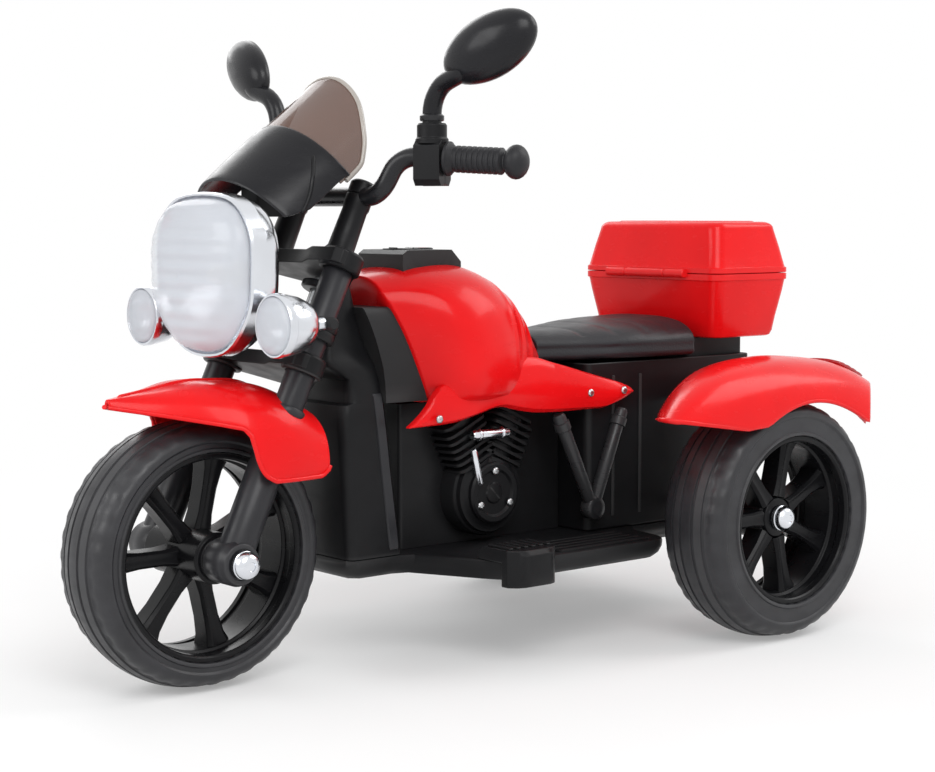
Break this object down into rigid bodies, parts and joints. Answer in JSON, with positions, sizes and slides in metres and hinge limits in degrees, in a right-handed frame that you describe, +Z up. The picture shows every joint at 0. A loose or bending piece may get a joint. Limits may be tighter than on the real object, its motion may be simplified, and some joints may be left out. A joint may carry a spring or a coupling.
{
  "type": "kids electric motorbike",
  "caption": "Battery ride-on chopper trike for a toddler: raked fork, shield headlight, smoked screen, tank, moulded seat, flared rear fenders and a lidded top box.",
  "frame": {"origin": "on the floor under the middle of the bounding box", "axes": "+X forward along the length, +Y to the rider's left, +Z up"},
  "size_m": [0.9, 0.4962, 0.6215],
  "materials": {
    "red_plastic": "glossy moulded",
    "black_plastic": "fine-grained satin",
    "seat_plastic": "satin moulded",
    "tyre_plastic": "hard, slightly shiny",
    "grip_rubber": "matte ribbed",
    "silver_plating": "bright plated plastic",
    "painted_tube": "satin black",
    "steel": "plain",
    "lamp_lens": "clear",
    "smoked_screen": "smoked",
    "red_lens": "glossy",
    "mirror_face": "mirror",
    "white_nylon": "satin",
    "red_button": "glossy"
  },
  "bodies": {
    "chassis": {"floor_pan": "black_plastic", "foot_pegs": "black_plastic", "front_cowl": "black_plastic", "engine_left": "black_plastic", "engine_right": "black_plastic", "tank_cover": "red_plastic", "side_panel_left": "red_plastic", "side_panel_right": "red_plastic", "dash_panel": "black_plastic", "seat": "seat_plastic", "rear_frame": "black_plastic", "rear_fender_left": "red_plastic", "rear_fender_right": "red_plastic", "tail_lamps": "red_lens", "box_base": "red_plastic", "screws": "steel", "battery": "black_plastic", "motor": "steel", "gearbox_case": "black_plastic", "gearbox_cover": "black_plastic", "rear_axle": "steel", "rear_axle_caps": "silver_plating"},
    "steering": {"steering_stem": "steel", "lower_yoke": "black_plastic", "upper_yoke": "black_plastic", "fork_leg_left": "painted_tube", "fork_leg_right": "painted_tube", "front_axle": "steel", "front_axle_caps": "silver_plating", "front_fender": "red_plastic", "lamp_bar": "black_plastic", "headlight_shell": "silver_plating", "headlight_lens": "lamp_lens", "side_lamp_left": "silver_plating", "side_lamp_right": "silver_plating", "side_lamp_lenses": "lamp_lens", "windshield_cowl": "black_plastic", "windshield": "smoked_screen", "handlebar": "painted_tube", "grip_left": "grip_rubber", "grip_right": "grip_rubber", "switch_pod_left": "black_plastic", "switch_pod_right": "black_plastic"},
    "front_wheel": {"front_tyre": "tyre_plastic", "front_rim": "black_plastic"},
    "rear_wheel_left": {"rear_tyre_left": "tyre_plastic", "rear_rim_left": "black_plastic"},
    "rear_wheel_right": {"rear_tyre_right": "tyre_plastic", "rear_rim_right": "black_plastic", "output_gear": "white_nylon"},
    "compound_gear": {"compound_gear": "white_nylon"},
    "motor_pinion": {"motor_pinion": "white_nylon"},
    "pedal": {"pedal": "black_plastic"},
    "drive_switch": {"drive_switch": "black_plastic"},
    "horn_button": {"horn_button": "red_button"},
    "box_lid": {"box_lid": "red_plastic"},
    "mirror_left": {"mirror_left": "black_plastic", "mirror_glass_left": "mirror_face"},
    "mirror_right": {"mirror_right": "black_plastic", "mirror_glass_right": "mirror_face"}
  },
  "joints": [
    {"name": "steering_turn", "type": "hinge", "parent": "chassis", "child": "steering", "pos_m": [0.21467, 0, 0.27878], "axis": [-0.4226, 0, 0.9063], "range_deg": [-30, 30]},
    {"name": "front_wheel_spin", "type": "hinge", "parent": "steering", "child": "front_wheel", "pos_m": [0.325, 0, 0.125], "axis": [0, 1, 0], "continuous": true},
    {"name": "rear_wheel_left_spin", "type": "hinge", "parent": "chassis", "child": "rear_wheel_left", "pos_m": [-0.251, 0.2, 0.125], "axis": [0, 1, 0], "continuous": true},
    {"name": "rear_wheel_right_spin", "type": "hinge", "parent": "chassis", "child": "rear_wheel_right", "pos_m": [-0.251, -0.2, 0.125], "axis": [0, 1, 0], "continuous": true},
    {"name": "compound_gear_spin", "type": "hinge", "parent": "chassis", "child": "compound_gear", "pos_m": [-0.27275, -0.1, 0.16267], "axis": [0, 1, 0], "continuous": true},
    {"name": "motor_pinion_spin", "type": "hinge", "parent": "chassis", "child": "motor_pinion", "pos_m": [-0.2361, -0.1, 0.17601], "axis": [0, 1, 0], "continuous": true},
    {"name": "pedal_press", "type": "hinge", "parent": "chassis", "child": "pedal", "pos_m": [-0.001, -0.09, 0.113], "axis": [0, 1, 0], "range_deg": [0, 8], "stiffness_Nm_per_rad": 1.5, "springref_deg": -5.73},
    {"name": "drive_switch_rock", "type": "hinge", "parent": "chassis", "child": "drive_switch", "pos_m": [0.07636, 0, 0.3985], "axis": [0, 1, 0], "range_deg": [-10, 10]},
    {"name": "horn_button_press", "type": "slide", "parent": "chassis", "child": "horn_button", "axis": [0, 0, -1], "range_m": [0, 0.002], "stiffness_N_per_m": 300, "springref_m": -0.002},
    {"name": "box_lid_open", "type": "hinge", "parent": "chassis", "child": "box_lid", "pos_m": [-0.27, 0, 0.3734], "axis": [0, 1, 0], "range_deg": [0, 95]},
    {"name": "mirror_left_turn", "type": "hinge", "parent": "steering", "child": "mirror_left", "pos_m": [0.13817, 0.1246, 0.52025], "axis": [0, 0, 1], "range_deg": [-30, 30]},
    {"name": "mirror_right_turn", "type": "hinge", "parent": "steering", "child": "mirror_right", "pos_m": [0.13817, -0.1246, 0.52025], "axis": [0, 0, 1], "range_deg": [-30, 30]}
  ],
  "couplings": [
    {"joint": "compound_gear_spin", "follows": "rear_wheel_right_spin", "ratio": -3.1429},
    {"joint": "motor_pinion_spin", "follows": "rear_wheel_right_spin", "ratio": 10.476}
  ]
}
